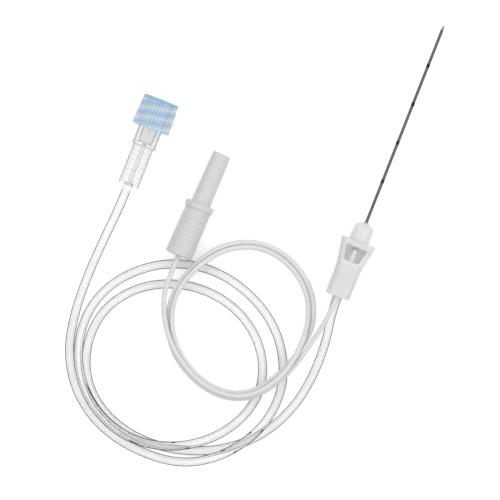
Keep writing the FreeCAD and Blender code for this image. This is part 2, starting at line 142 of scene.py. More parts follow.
LEAD_ROUTE = [
    (0.0, -31.125, 5.3), (0.0, -38.5, 5.3), (-1.2, -46.0, 3.5), (-2.6, -51.8, 2.4),
    (-4.5, -57.8, 3.3), (-9.1, -64.8, 3.3), (-15.5, -68.1, 1.8), (-23.6, -67.4, 0.6),
    (-31.3, -63.3, 0.6), (-36.0, -56.7, 0.6), (-37.5, -48.5, 3.3), (-34.9, -40.3, 3.3),
    (-30.2, -33.4, 1.6), (-22.2, -29.4, 0.6), (-13.2, -30.6, 0.6), (-5.9, -36.0, 0.6),
    (-2.6, -43.6, 0.6), (-3.5, -50.4, 2.2), (-5.7, -57.1, 3.4), (-10.0, -63.8, 3.3),
    (-15.8, -66.8, 1.8), (-23.3, -66.1, 0.6), (-30.3, -62.2, 0.7), (-35.1, -56.2, 1.55),
    (-36.7, -48.5, 4.35), (-34.2, -40.9, 4.35), (-29.4, -34.3, 2.2), (-22.0, -30.7, 0.6),
    (-13.6, -31.9, 0.6), (-6.9, -36.9, 0.6), (-3.9, -43.8, 1.2), (-3.8, -50.6, 3.7),
    (-5.1, -57.5, 4.7), (-9.5, -64.4, 4.55), (-15.7, -67.5, 2.95), (-23.5, -66.8, 1.75),
    (-30.9, -62.8, 1.9), (-36.1, -57.1, 2.2), (-39.35, -50.0, 3.3), (-39.38, -43.75, 3.55),
    (-39.19, -37.35, 3.55),
]


# Shader helpers
def shader_group(name, inputs, outputs):
    """An empty node group with its named sockets."""
    group = bpy.data.node_groups.new(name, "ShaderNodeTree")
    for label, kind, value in inputs:
        socket = group.interface.new_socket(label, in_out="INPUT", socket_type=kind)
        socket.default_value = value
    for label, kind in outputs:
        group.interface.new_socket(label, in_out="OUTPUT", socket_type=kind)
    return group


def math_maker(nodes, links):
    """A function that adds a math node to a tree, on numbers or sockets, and gives its output."""
    def math_node(operation, first, second=None):
        node = nodes.new("ShaderNodeMath")
        node.operation = operation
        for number, value in enumerate((first, second)):
            if isinstance(value, (int, float)):
                node.inputs[number].default_value = value
            elif value is not None:
                links.new(value, node.inputs[number])
        return node.outputs[0]

    return math_node


def colour_mix(nodes, links, factor, first, second, blend="MIX"):
    """Mixes two colours, or two colour sockets, by a number or a socket, and gives the result."""
    mix = nodes.new("ShaderNodeMix")
    mix.data_type = "RGBA"
    mix.blend_type = blend
    for name, value in (("Factor", factor), ("A", first), ("B", second)):
        if isinstance(value, bpy.types.NodeSocket):
            links.new(value, mix.inputs[name])
        elif name == "Factor":
            mix.inputs[name].default_value = value
        else:
            mix.inputs[name].default_value = (*value, 1.0)
    return mix.outputs["Result"]


def grain_group():
    """Fine moulded grain: a height and a small change of roughness, from the piece's own coordinates."""
    group = shader_group(
        "moulded_grain",
        [("Scale", "NodeSocketFloat", 900.0), ("Roughness", "NodeSocketFloat", 0.4),
         ("Spread", "NodeSocketFloat", 0.1)],
        [("Height", "NodeSocketFloat"), ("Roughness", "NodeSocketFloat")])
    nodes, links = group.nodes, group.links
    given = nodes.new("NodeGroupInput")
    made = nodes.new("NodeGroupOutput")
    place = nodes.new("ShaderNodeTexCoord")
    fine = nodes.new("ShaderNodeTexNoise")
    fine.inputs["Detail"].default_value = 4.0
    broad = nodes.new("ShaderNodeTexNoise")
    broad.inputs["Scale"].default_value = 240.0
    links.new(place.outputs["Object"], fine.inputs["Vector"])
    links.new(place.outputs["Object"], broad.inputs["Vector"])
    links.new(given.outputs["Scale"], fine.inputs["Scale"])
    math_node = math_maker(nodes, links)
    centred = math_node("SUBTRACT", broad.outputs["Fac"], 0.5)
    change = math_node("MULTIPLY", centred, given.outputs["Spread"])
    links.new(fine.outputs["Fac"], made.inputs["Height"])
    links.new(math_node("ADD", change, given.outputs["Roughness"]), made.inputs["Roughness"])
    return group


GRAIN = grain_group()


def thread_group():
    """Masks of a two-start right-handed thread in the cap's own place, and of its thick closed end.

    They place a painted highlight along the thread's crests and painted shade in its grooves and in
    the ribs' valleys.
    """
    group = shader_group(
        "cap_thread", [("Lead", "NodeSocketFloat", 0.0049), ("Width", "NodeSocketFloat", 0.16)],
        [("CrestHighlight", "NodeSocketFloat"), ("GrooveShade", "NodeSocketFloat"), ("End", "NodeSocketFloat"),
         ("ValleyShade", "NodeSocketFloat")])
    nodes, links = group.nodes, group.links
    given = nodes.new("NodeGroupInput")
    made = nodes.new("NodeGroupOutput")
    place = nodes.new("ShaderNodeTexCoord")
    settle = nodes.new("ShaderNodeMapping")
    settle.vector_type = "TEXTURE"
    settle.inputs["Location"].default_value = LUER_REAR * MM
    links.new(place.outputs["Object"], settle.inputs["Vector"])
    split = nodes.new("ShaderNodeSeparateXYZ")
    links.new(settle.outputs["Vector"], split.inputs["Vector"])

    math_node = math_maker(nodes, links)
    angle = math_node("ARCTAN2", split.outputs["X"], split.outputs["Z"])
    turn = math_node("DIVIDE", angle, 2.0 * math.pi)
    along = math_node("SUBTRACT", split.outputs["Y"], (CAP_END - 2.45) * MM)
    risen = math_node("SUBTRACT", math_node("DIVIDE", along, given.outputs["Lead"]), turn)
    phase = math_node("PINGPONG", math_node("MULTIPLY", risen, 2.0), 0.5)

    def band(value, low, high):
        node = nodes.new("ShaderNodeMapRange")
        node.interpolation_type = "SMOOTHSTEP"
        links.new(value, node.inputs["Value"])
        for name, limit in (("From Min", low), ("From Max", high)):
            if isinstance(limit, (int, float)):
                node.inputs[name].default_value = limit
            else:
                links.new(limit, node.inputs[name])
        return node.outputs["Result"]

    # Painted shade in the ribs' valleys
    valley = band(math_node("SINE", math_node("MULTIPLY", angle, float(CAP_RIB_COUNT))), -0.1, 0.6)
    links.new(math_node("MULTIPLY", valley, 0.75), made.inputs["ValleyShade"])
    # Painted highlight along the thread's crests, dimmer in the ribs' valleys
    crest = math_node("SUBTRACT", 1.0, band(phase, 0.02, given.outputs["Width"]))
    crest = math_node("MULTIPLY", crest, math_node("SUBTRACT", 1.0, math_node("MULTIPLY", valley, 0.6)))
    near_end = band(split.outputs["Y"], (CAP_END - 1.0) * MM, (CAP_END - 0.6) * MM)
    body_only = math_node("SUBTRACT", 1.0, near_end)
    links.new(math_node("MULTIPLY", crest, body_only), made.inputs["CrestHighlight"])
    # Painted shade in the thread's grooves
    links.new(math_node("MULTIPLY", band(phase, 0.3, 0.46), body_only), made.inputs["GrooveShade"])
    links.new(near_end, made.inputs["End"])
    return group


THREAD = thread_group()


def turned_away(nodes, links, radial):
    """How far a round wall is turned from the view across its own length, the same at every slant.

    The length runs along the piece's own UV, or for a turned piece across its radial tangent."""
    # This measure masks the painted edge shade of clear walls
    math_node = math_maker(nodes, links)
    wall = nodes.new("ShaderNodeLayerWeight")
    wall.inputs["Blend"].default_value = 0.5
    tangent = nodes.new("ShaderNodeTangent")
    length = tangent.outputs["Tangent"]
    if radial:
        tangent.direction_type, tangent.axis = "RADIAL", "Y"
        surface = nodes.new("ShaderNodeNewGeometry")
        cross = nodes.new("ShaderNodeVectorMath")
        cross.operation = "CROSS_PRODUCT"
        links.new(surface.outputs["Normal"], cross.inputs[0])
        links.new(length, cross.inputs[1])
        length = cross.outputs["Vector"]
    else:
        tangent.direction_type, tangent.uv_map = "UV_MAP", "UVMap"
    slant = nodes.new("ShaderNodeLayerWeight")
    slant.inputs["Blend"].default_value = 0.5
    links.new(length, slant.inputs["Normal"])
    foreshortened = math_node("SUBTRACT", 1.0, slant.outputs["Facing"])
    shown = math_node("SQRT", math_node("SUBTRACT", 1.0, math_node("POWER", foreshortened, 2.0)))
    facing = math_node("SUBTRACT", 1.0, wall.outputs["Facing"])
    return math_node("SUBTRACT", 1.0, math_node("DIVIDE", facing, math_node("MAXIMUM", shown, 0.05)))


def painted_edge_ramp(nodes, links, rim, radial):
    """Painted edge shade: grey levels that change from where a surface faces the view to where it is
    seen edge on.
    """
    profile = nodes.new("ShaderNodeValToRGB")
    steps = profile.color_ramp.elements
    steps[0].position, steps[1].position = rim[0][0], rim[-1][0]
    steps[0].color = (*[rim[0][1]] * 3, 1.0)
    steps[1].color = (*[rim[-1][1]] * 3, 1.0)
    for position, edge_shade_level in rim[1:-1]:
        steps.new(position).color = (*[edge_shade_level] * 3, 1.0)
    links.new(turned_away(nodes, links, radial), profile.inputs["Fac"])
    return profile.outputs["Color"]


def plastic(name, colour, roughness, tint=None, tint_scale=160.0, transmission=0.0, grain=0.02,
            grain_scale=900.0, ior=1.5, spread=0.1, subsurface=0.0, passes=0.0, rim=None,
            bore_edge_shade=None):
    """A moulded plastic: grain in its bump, a little variation in roughness, clouds of its tint.

    passes is the share of light that goes on through a clear or milky wall to what lies behind it,
    and rim is painted edge shade: a darker tone painted where a clear wall is seen edge on, in place of
    the dark edges that refraction gives. The inner skin of a tube, where its bore attribute is 1, has
    its own weaker painted edge shade."""
    material = bpy.data.materials.new(name)
    material.use_nodes = True
    nodes, links = material.node_tree.nodes, material.node_tree.links
    shader = nodes["Principled BSDF"]
    shader.inputs["IOR"].default_value = ior
    shader.inputs["Transmission Weight"].default_value = transmission
    shader.inputs["Subsurface Weight"].default_value = subsurface
    shader.inputs["Subsurface Scale"].default_value = 0.001
    surface = nodes.new("ShaderNodeGroup")
    surface.node_tree = GRAIN
    surface.inputs["Scale"].default_value = grain_scale
    surface.inputs["Roughness"].default_value = roughness
    surface.inputs["Spread"].default_value = spread
    links.new(surface.outputs["Roughness"], shader.inputs["Roughness"])
    if grain:
        bump = nodes.new("ShaderNodeBump")
        bump.inputs["Strength"].default_value = grain
        bump.inputs["Distance"].default_value = 0.0001
        links.new(surface.outputs["Height"], bump.inputs["Height"])
        links.new(bump.outputs["Normal"], shader.inputs["Normal"])
    place = nodes.new("ShaderNodeTexCoord")
    cloud = nodes.new("ShaderNodeTexNoise")
    cloud.inputs["Scale"].default_value = tint_scale
    links.new(place.outputs["Object"], cloud.inputs["Vector"])
    tone = colour_mix(nodes, links, cloud.outputs["Fac"], colour, tint or colour)
    # Painted edge shade: darker tones where a clear wall is seen edge on, a weaker one on a tube's bore
    if rim:
        edge_shade_level = painted_edge_ramp(nodes, links, rim, not bore_edge_shade)
        if bore_edge_shade:
            inner = nodes.new("ShaderNodeAttribute")
            inner.attribute_name = "bore"
            bore_edge_shade_level = painted_edge_ramp(nodes, links, bore_edge_shade, False)
            edge_shade_level = colour_mix(nodes, links, inner.outputs["Fac"], edge_shade_level, bore_edge_shade_level)
        tone = colour_mix(nodes, links, 1.0, tone, edge_shade_level, "MULTIPLY")
    links.new(tone, shader.inputs["Base Color"])
    if passes:
        paths = nodes.new("ShaderNodeLightPath")
        held = nodes.new("ShaderNodeMapRange")
        held.inputs["To Min"].default_value = 1.0
        held.inputs["To Max"].default_value = 1.0 - passes
        links.new(paths.outputs["Is Shadow Ray"], held.inputs["Value"])
        links.new(held.outputs["Result"], shader.inputs["Alpha"])
    return material


def threaded(material, crest, groove_shade, end, valley):
    """Adds a painted highlight on the thread's crests, painted shade in its grooves and the ribs' valleys,
    and the deeper closed end.
    """
    nodes, links = material.node_tree.nodes, material.node_tree.links
    shader = nodes["Principled BSDF"]
    tone = shader.inputs["Base Color"].links[0].from_socket
    thread = nodes.new("ShaderNodeGroup")
    thread.node_tree = THREAD
    for name, colour in (("End", end), ("GrooveShade", groove_shade), ("ValleyShade", valley), ("CrestHighlight", crest)):
        tone = colour_mix(nodes, links, thread.outputs[name], tone, colour)
    links.new(tone, shader.inputs["Base Color"])
    return material


def painted_light_ahead(material, colour):
    """Paints light on the core's front, which stands free in the window, so it is whiter than its buried
    part, whose darker tone is painted shade.
    """
    nodes, links = material.node_tree.nodes, material.node_tree.links
    shader = nodes["Principled BSDF"]
    tone = shader.inputs["Base Color"].links[0].from_socket
    place = nodes.new("ShaderNodeTexCoord")
    split = nodes.new("ShaderNodeSeparateXYZ")
    lit_front = nodes.new("ShaderNodeMapRange")
    lit_front.inputs["From Min"].default_value = (CORE_FRONT_Y - 0.6) * MM
    lit_front.inputs["From Max"].default_value = CORE_FRONT_Y * MM
    links.new(place.outputs["Object"], split.inputs["Vector"])
    links.new(split.outputs["Y"], lit_front.inputs["Value"])
    links.new(colour_mix(nodes, links, lit_front.outputs["Result"], tone, colour), shader.inputs["Base Color"])
    return material


def metal(name, colour, roughness, brushed_scale=(4000.0, 120.0, 4000.0)):
    """A drawn or turned metal with fine lines along Y."""
    material = bpy.data.materials.new(name)
    material.use_nodes = True
    nodes, links = material.node_tree.nodes, material.node_tree.links
    shader = nodes["Principled BSDF"]
    shader.inputs["Metallic"].default_value = 1.0
    place = nodes.new("ShaderNodeTexCoord")
    stretch = nodes.new("ShaderNodeMapping")
    stretch.inputs["Scale"].default_value = brushed_scale
    lines = nodes.new("ShaderNodeTexNoise")
    lines.inputs["Scale"].default_value = 1.0
    links.new(place.outputs["Object"], stretch.inputs["Vector"])
    links.new(stretch.outputs["Vector"], lines.inputs["Vector"])
    bump = nodes.new("ShaderNodeBump")
    bump.inputs["Strength"].default_value = 0.05
    bump.inputs["Distance"].default_value = 0.00005
    links.new(lines.outputs["Fac"], bump.inputs["Height"])
    links.new(bump.outputs["Normal"], shader.inputs["Normal"])
    darker = [0.8 * part for part in colour]
    links.new(colour_mix(nodes, links, lines.outputs["Fac"], colour, darker), shader.inputs["Base Color"])
    worn = nodes.new("ShaderNodeMapRange")
    worn.inputs["To Min"].default_value = roughness * 0.8
    worn.inputs["To Max"].default_value = roughness * 1.2
    links.new(lines.outputs["Fac"], worn.inputs["Value"])
    links.new(worn.outputs["Result"], shader.inputs["Roughness"])
    return material


# Painted edge shade of clear walls, as (how far turned from the view, level)
CLEAR_EDGE_SHADE = ((0.0, 0.97), (0.2, 0.95), (0.32, 0.62), (0.43, 0.2), (0.6, 0.06), (1.0, 0.04))
BORE_EDGE_SHADE = ((0.0, 1.0), (0.35, 0.96), (0.55, 0.62), (0.75, 0.4), (1.0, 0.35))
SOFT_EDGE_SHADE = ((0.0, 1.0), (0.28, 0.96), (0.45, 0.6), (0.6, 0.24), (1.0, 0.1))
PLUG_GREY = (0.67, 0.675, 0.675)
PLUG_GREY_DARKER = (0.60, 0.605, 0.605)

MATERIALS = {
    # The clear tube and connector carry painted edge shade where their walls are seen edge on
    "tube": plastic("clear_tube", (0.955, 0.955, 0.953), 0.02, tint=(0.91, 0.91, 0.908),
                    transmission=1.0, grain=0.0, ior=1.12, spread=0.01, passes=0.93,
                    rim=CLEAR_EDGE_SHADE, bore_edge_shade=BORE_EDGE_SHADE),
    "lead": plastic("lead_jacket", (0.75, 0.753, 0.75), 0.38, tint=(0.68, 0.683, 0.68),
                    grain=0.05, grain_scale=2500.0),
    "connector": plastic("clear_connector", (0.93, 0.932, 0.93), 0.05, tint=(0.78, 0.783, 0.78),
                         tint_scale=1000.0, transmission=1.0, ior=1.35, spread=0.03, passes=0.85,
                         rim=SOFT_EDGE_SHADE),
    # The cap: a painted highlight on its thread's crests, painted shade in its grooves and rib valleys
    "cap": threaded(plastic("blue_cap", (0.70, 0.82, 0.92), 0.16, tint=(0.80, 0.87, 0.93),
                            transmission=0.45, grain_scale=1200.0, ior=1.35, spread=0.06, passes=0.8),
                    crest=(0.96, 0.985, 1.0), groove_shade=(0.55, 0.70, 0.83), end=(0.42, 0.65, 0.84),
                    valley=(0.36, 0.58, 0.80)),
    "nose": plastic("nose_translucent", (0.90, 0.902, 0.90), 0.35, tint=(0.85, 0.853, 0.85),
                    transmission=0.25, grain=0.04, ior=1.47, subsurface=0.15, passes=0.4),
    "grip": plastic("grip_translucent", (0.94, 0.943, 0.94), 0.30, tint=(0.90, 0.903, 0.90),
                    transmission=0.5, grain=0.03, ior=1.40, subsurface=0.05, passes=0.7),
    # The core's buried part has a darker tone as painted shade, its free front a whiter one as painted
    # light
    "core": painted_light_ahead(plastic("core_white_painted_light_and_shade", (0.62, 0.623, 0.62), 0.40, tint=(0.54, 0.543, 0.54),
                                 transmission=0.1, grain=0.04, ior=1.47, subsurface=0.1, passes=0.4),
                         (0.97, 0.97, 0.965)),
    "adhesive": plastic("clear_adhesive", (0.90, 0.89, 0.88), 0.06, transmission=0.8,
                        grain_scale=700.0, ior=1.4, spread=0.04, passes=0.6),
    "coating": plastic("dark_coating", (0.07, 0.07, 0.07), 0.25, tint=(0.11, 0.11, 0.108),
                       grain_scale=3000.0, spread=0.08),
    "ink": plastic("mark_ink", (0.010, 0.010, 0.011), 0.6, tint=(0.016, 0.016, 0.016),
                   grain=0.05, grain_scale=4000.0, ior=1.3),
    "plug": plastic("plug_body", PLUG_GREY, 0.5, tint=PLUG_GREY_DARKER, tint_scale=900.0,
                    grain=0.14, grain_scale=1600.0, subsurface=0.1),
    "plug_grip": plastic("plug_grip", PLUG_GREY, 0.55, tint=PLUG_GREY_DARKER, tint_scale=900.0,
                         grain=0.16, grain_scale=1600.0, subsurface=0.1),
    "steel": metal("needle_steel", (0.50, 0.50, 0.505), 0.22),
    "wire": metal("tinned_wire", (0.55, 0.55, 0.56), 0.35),
    "solder": metal("dull_solder", (0.62, 0.62, 0.63), 0.45, (600.0, 600.0, 600.0)),
    "brass": metal("contact_brass", (0.78, 0.60, 0.30), 0.25),
    "copper": metal("copper_strands", (0.72, 0.40, 0.25), 0.35),
}


# Piece helpers
def finish_piece(piece, mesh, material, body, nodes=(), sharp=35.0):
    """Gives a mesh its object, its shading, its material and its body, and hides the CAD nodes it replaces.
    """
    data = bpy.data.meshes.new(piece)
    mesh.to_mesh(data)
    mesh.free()
    data.shade_smooth()
    data.set_sharp_from_angle(angle=math.radians(sharp))
    data.materials.append(material)
    made = bpy.data.objects.new(piece, data)
    scene.collection.objects.link(made)
    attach(made, body)
    if nodes:
        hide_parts(*nodes)
    return made


def turned(outline, place):
    """A bmesh turned about Y from a closed outline of (radius, y) corners, put in place by a matrix."""
    mesh = bmesh.new()
    verts = [mesh.verts.new((radius * MM, y * MM, 0.0)) for radius, y in outline]
    edges = [mesh.edges.new(pair) for pair in zip(verts, verts[1:] + verts[:1])]
    bmesh.ops.spin(mesh, geom=verts + edges, cent=(0, 0, 0), axis=(0, 1, 0), dvec=(0, 0, 0),
                   angle=2.0 * math.pi, steps=TURN_STEPS, use_merge=True, use_duplicate=False)
    bmesh.ops.remove_doubles(mesh, verts=mesh.verts, dist=MERGE)
    bmesh.ops.recalc_face_normals(mesh, faces=mesh.faces)
    bmesh.ops.transform(mesh, matrix=place, verts=mesh.verts)
    return mesh


def round_corner(start, corner, end, steps=5):
    """Points of a smooth curve from start to end that leans towards the corner."""
    points = []
    for step in range(steps + 1):
        share = step / steps
        first = (1.0 - share) ** 2
        second = 2.0 * share * (1.0 - share)
        third = share ** 2
        points.append((first * start[0] + second * corner[0] + third * end[0],
                       first * start[1] + second * corner[1] + third * end[1]))
    return points


def join_into(mesh, other):
    """Adds another bmesh's faces to this one."""
    data = bpy.data.meshes.new("joined")
    other.to_mesh(data)
    other.free()
    mesh.from_mesh(data)
    bpy.data.meshes.remove(data)


AT_AXIS = Matrix.Translation(Vector((0.0, 0.0, AXIS_Z)) * MM)
AT_LUER = Matrix.Translation(LUER_REAR * MM)
AT_PLUG = Matrix.Translation(PLUG_REAR * MM) @ Matrix.Rotation(-PLUG_TURN, 4, "Z")


# Cords
def cord_curve(piece, route, radius, material):
    """A smooth open line through a cord's route, with a round section."""
    data = bpy.data.curves.new(piece, "CURVE")
    data.dimensions = "3D"
    data.bevel_depth = radius * MM
    data.bevel_resolution = 8
    data.resolution_u = 10
    data.use_fill_caps = True
    line = data.splines.new("NURBS")
    line.points.add(len(route) - 1)
    for point, place in zip(line.points, route):
        point.co = (*(Vector(place) * MM), 1.0)
    line.order_u = 3
    line.use_endpoint_u = True
    data.materials.append(material)
    made = bpy.data.objects.new(piece, data)
    scene.collection.objects.link(made)
    return made


def line_points(curve):
    """Points along a cord's own line, as Blender evaluates it with no section."""
    plain = curve.data.copy()
    plain.bevel_depth = 0.0
    probe = bpy.data.objects.new("probe", plain)
    scene.collection.objects.link(probe)
    bpy.context.view_layer.update()
    mesh = bpy.data.meshes.new_from_object(probe)
    points = [vertex.co.copy() for vertex in mesh.vertices]
    bpy.data.objects.remove(probe)
    bpy.data.meshes.remove(mesh)
    return points


def mesh_from_curve(curve):
    """The round skin of a cord as a bmesh, seams merged."""
    bpy.context.view_layer.update()
    data = bpy.data.meshes.new_from_object(curve)
    mesh = bmesh.new()
    mesh.from_mesh(data)
    bpy.data.meshes.remove(data)
    bmesh.ops.remove_doubles(mesh, verts=mesh.verts, dist=MERGE)
    bmesh.ops.recalc_face_normals(mesh, faces=mesh.faces)
    return mesh


def add_tube():
    """The clear injection tube: an outer skin and its bore, open at neither end."""
    outer = cord_curve("tube_skin", TUBE_ROUTE, TUBE_RADIUS, MATERIALS["tube"])
    inner = cord_curve("tube_bore", TUBE_ROUTE, TUBE_BORE_RADIUS, MATERIALS["tube"])
    path = line_points(outer)
    mesh = mesh_from_curve(outer)
    bore = mesh_from_curve(inner)
    bmesh.ops.reverse_faces(bore, faces=bore.faces)
    inner_skin = [0.0] * len(mesh.verts) + [1.0] * len(bore.verts)
    join_into(mesh, bore)
    bpy.data.objects.remove(outer)
    bpy.data.objects.remove(inner)
    piece = finish_piece("clear_injection_tube", mesh, MATERIALS["tube"], SET,
                         ["injection_tube"], 60.0)
    piece.data.attributes.new("bore", "FLOAT", "POINT").data.foreach_set("value", inner_skin)
    return piece, path


def add_lead():
    """The thin electrical lead."""
    piece = cord_curve("grey_lead", LEAD_ROUTE, LEAD_RADIUS, MATERIALS["lead"])
    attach(piece, SET)
    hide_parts("electrical_lead")
    return piece


tube, tube_path = add_tube()
lead = add_lead()


# Luer connector and cap
def ribbed_outline():
    """The connector's outside, from its rear to its mouth, with low rounded ribs."""
    points = []
    gap, top, valley = 0.5, 2.65, 2.54
    for number in range(RIB_COUNT):
        rear = number * RIB_PITCH
        front = rear + RIB_PITCH - gap
        points += round_corner((valley, rear), (top, rear), (top, rear + 0.16), 3)
        points += round_corner((top, front - 0.16), (top, front), (valley, front), 3)
        points.append((valley, rear + RIB_PITCH - 0.02))
    shoulder = SHOULDER_RADIUS
    points += round_corner((valley, RIB_SECTION), (shoulder, RIB_SECTION), (shoulder, RIB_SECTION + 0.2), 4)
    points += round_corner((shoulder, BARREL_FROM - 0.15), (shoulder, BARREL_FROM),
                           (BARREL_RADIUS, BARREL_FROM + 0.05), 4)
    # The middle point keeps the long wall's shading straight
    points += [(BARREL_RADIUS, BARREL_MIDDLE), (BARREL_RADIUS, MOUTH_AT - 0.15),
               (BARREL_RADIUS - 0.1, MOUTH_AT)]
    return points


def add_connector():
    """The clear connector with its ribs, its tapered socket and its lugs."""
    bottom = MOUTH_AT - SOCKET_DEPTH
    inside = [(SOCKET_MOUTH_RADIUS, MOUTH_AT), (SOCKET_END_RADIUS, bottom + 1.6)]
    inside += round_corner((SOCKET_END_RADIUS, bottom + 1.6), (SOCKET_END_RADIUS - 0.05, bottom + 0.1),
                           (0.75, bottom), 8)[1:]
    inside += [(PASSAGE_RADIUS, bottom - 0.2), (PASSAGE_RADIUS, 0.6),
               (TUBE_SEAT_RADIUS, 0.55), (TUBE_SEAT_RADIUS, 0.0)]
    outline = ribbed_outline() + inside
    mesh = turned(outline, Matrix.Identity(4))
    for side in (-1, 1):
        lug = bmesh.new()
        bmesh.ops.create_cube(lug, size=MM)
        bmesh.ops.scale(lug, vec=(1.0, 1.4, 3.0), verts=lug.verts)
        bmesh.ops.translate(lug, vec=Vector((side * 3.35, MOUTH_AT - 0.9, 0.0)) * MM, verts=lug.verts)
        bmesh.ops.bevel(lug, geom=lug.edges, offset=0.0002, offset_type="OFFSET", segments=3,
                        profile=0.5, affect="EDGES", material=-1)
        join_into(mesh, lug)
    bmesh.ops.transform(mesh, matrix=AT_LUER, verts=mesh.verts)
    return finish_piece("luer_body", mesh, MATERIALS["connector"], SET,
                        ["luer_connector"])


def pull_ring(mesh, edges, start, stations):
    """Extrudes a ring of edges from (radius, y) through further stations and returns the last ring."""
    radius, along = start
    for next_radius, next_along in stations:
        made = bmesh.ops.extrude_edge_only(mesh, edges=edges)
        verts = [item for item in made["geom"] if isinstance(item, bmesh.types.BMVert)]
        edges = [item for item in made["geom"] if isinstance(item, bmesh.types.BMEdge)]
        share = next_radius / radius
        bmesh.ops.scale(mesh, vec=(share, 1.0, share), verts=verts)
        bmesh.ops.translate(mesh, vec=(0.0, (next_along - along) * MM, 0.0), verts=verts)
        radius, along = next_radius, next_along
    return edges


def add_cap():
    """The blue cap: ribs outside, wider towards its rim, with a sealing cone inside its closed end."""
    ribs, height = CAP_RIB_COUNT, CAP_RIB_HEIGHT
    rim, top = CAP_RIM_RADIUS - height, CAP_TOP_RADIUS - height
    mesh = bmesh.new()
    bmesh.ops.create_circle(mesh, cap_ends=False, segments=2 * ribs, radius=rim * MM)
    bmesh.ops.rotate(mesh, cent=(0, 0, 0), matrix=Matrix.Rotation(math.pi / 2.0, 3, "X"), verts=mesh.verts)
    bmesh.ops.translate(mesh, vec=(0.0, CAP_RIM * MM, 0.0), verts=mesh.verts)
    rim_ring = list(mesh.edges)
    ribs_end = CAP_END - CAP_END_BAND
    upper = pull_ring(mesh, rim_ring, (rim, CAP_RIM), [(rim, CAP_RIM + 0.12), (top, ribs_end)])
    walls = [face for face in mesh.faces
             if face.calc_center_median().y > (CAP_RIM + 0.3) * MM]
    walls.sort(key=lambda face: math.atan2(face.calc_center_median().z, face.calc_center_median().x))
    bmesh.ops.recalc_face_normals(mesh, faces=mesh.faces)
    last = pull_ring(mesh, upper, (top, ribs_end), [
        (CAP_TOP_RADIUS, ribs_end + 0.05), (CAP_TOP_RADIUS, CAP_END - 0.22),
        (CAP_TOP_RADIUS - 0.06, CAP_END - 0.06), (CAP_TOP_RADIUS - 0.22, CAP_END), (1.2, CAP_END)])
    bmesh.ops.edgeloop_fill(mesh, edges=last)
    inner = pull_ring(mesh, rim_ring, (rim, CAP_RIM), [
        (CAP_BORE_RADIUS + 0.08, CAP_RIM), (CAP_BORE_RADIUS, CAP_RIM + 0.1),
        (CAP_BORE_RADIUS, CAP_END - 1.12), (CAP_BORE_RADIUS - 0.12, CAP_END - 1.0),
        (2.09, CAP_END - 1.0), (1.9, CAP_RIM + 0.35), (1.75, CAP_RIM + 0.2), (0.4, CAP_RIM + 0.2)])
    bmesh.ops.edgeloop_fill(mesh, edges=inner)
    bmesh.ops.recalc_face_normals(mesh, faces=mesh.faces)
    bmesh.ops.inset_individual(mesh, faces=walls[::2], thickness=0.07 * MM, depth=height * MM,
                               use_even_offset=True)
    bmesh.ops.transform(mesh, matrix=AT_LUER, verts=mesh.verts)
    return finish_piece("blue_luer_cap", mesh, MATERIALS["cap"], CAP, ["luer_cap"])


connector = add_connector()
cap = add_cap()


# Plug
def add_plug():
    """The plug's nose and ring, and its finely ribbed grip."""
    stem = RING_FROM - 3.8
    ring = RING_RADIUS
    shroud = [(CRIMP_RADIUS, stem), (STEM_RADIUS, stem), (STEM_RADIUS, RING_FROM)]
    shroud += round_corner((ring - 0.25, RING_FROM), (ring, RING_FROM), (ring, RING_FROM + 0.25))
    shroud += round_corner((ring, RING_TO - 0.25), (ring, RING_TO), (ring - 0.25, RING_TO))
    shroud += round_corner((2.55, RING_TO), (2.4, RING_TO), (2.398, RING_TO + 0.15))
    shroud += round_corner((2.205, PLUG_TIP - 0.4), (2.2, PLUG_TIP), (1.8, PLUG_TIP))
    contact_from, contact_to = PLUG_TIP - 16.95, PLUG_TIP - 1.45
    shroud += [(PIN_MOUTH_RADIUS + 0.1, PLUG_TIP), (PIN_MOUTH_RADIUS, PLUG_TIP - 0.1),
               (PIN_MOUTH_RADIUS, contact_to), (CONTACT_RADIUS, contact_to),
               (CONTACT_RADIUS, contact_from), (CRIMP_RADIUS, contact_from)]
    nose = finish_piece("plug_nose_and_ring", turned(shroud, AT_PLUG), MATERIALS["plug"], SET,
                        ["plug_shroud"])
    grip = [(LEAD_RADIUS, 0.0)]
    grip += round_corner((GRIP_REAR_RADIUS - 0.7, 0.0), (GRIP_REAR_RADIUS, 0.0), (GRIP_REAR_RADIUS, 0.75))
    ribs_from, ribs_to = 1.1, RING_FROM - 0.5
    pitch = (ribs_to - ribs_from) / GRIP_RIB_COUNT
    for rib in range(GRIP_RIB_COUNT):
        at = ribs_from + rib * pitch
        crest = GRIP_REAR_RADIUS - 0.19 * (rib + 0.5) / GRIP_RIB_COUNT
        foot = crest - GRIP_RIB_DEPTH
        grip += [(foot, at), (crest, at + 0.22 * pitch), (crest, at + 0.7 * pitch),
                 (foot, at + 0.92 * pitch)]
    grip += [(GRIP_FRONT_RADIUS, RING_FROM - 0.3), (GRIP_FRONT_RADIUS, RING_FROM), (STEM_RADIUS, RING_FROM),
             (STEM_RADIUS, stem), (CRIMP_RADIUS, stem), (CRIMP_RADIUS, LEAD_IN_PLUG),
             (LEAD_RADIUS, LEAD_IN_PLUG)]
    handle = finish_piece("plug_handle", turned(grip, AT_PLUG), MATERIALS["plug_grip"], SET,
                          ["plug_grip"])
    return nose, handle


plug_nose, plug_handle = add_plug()


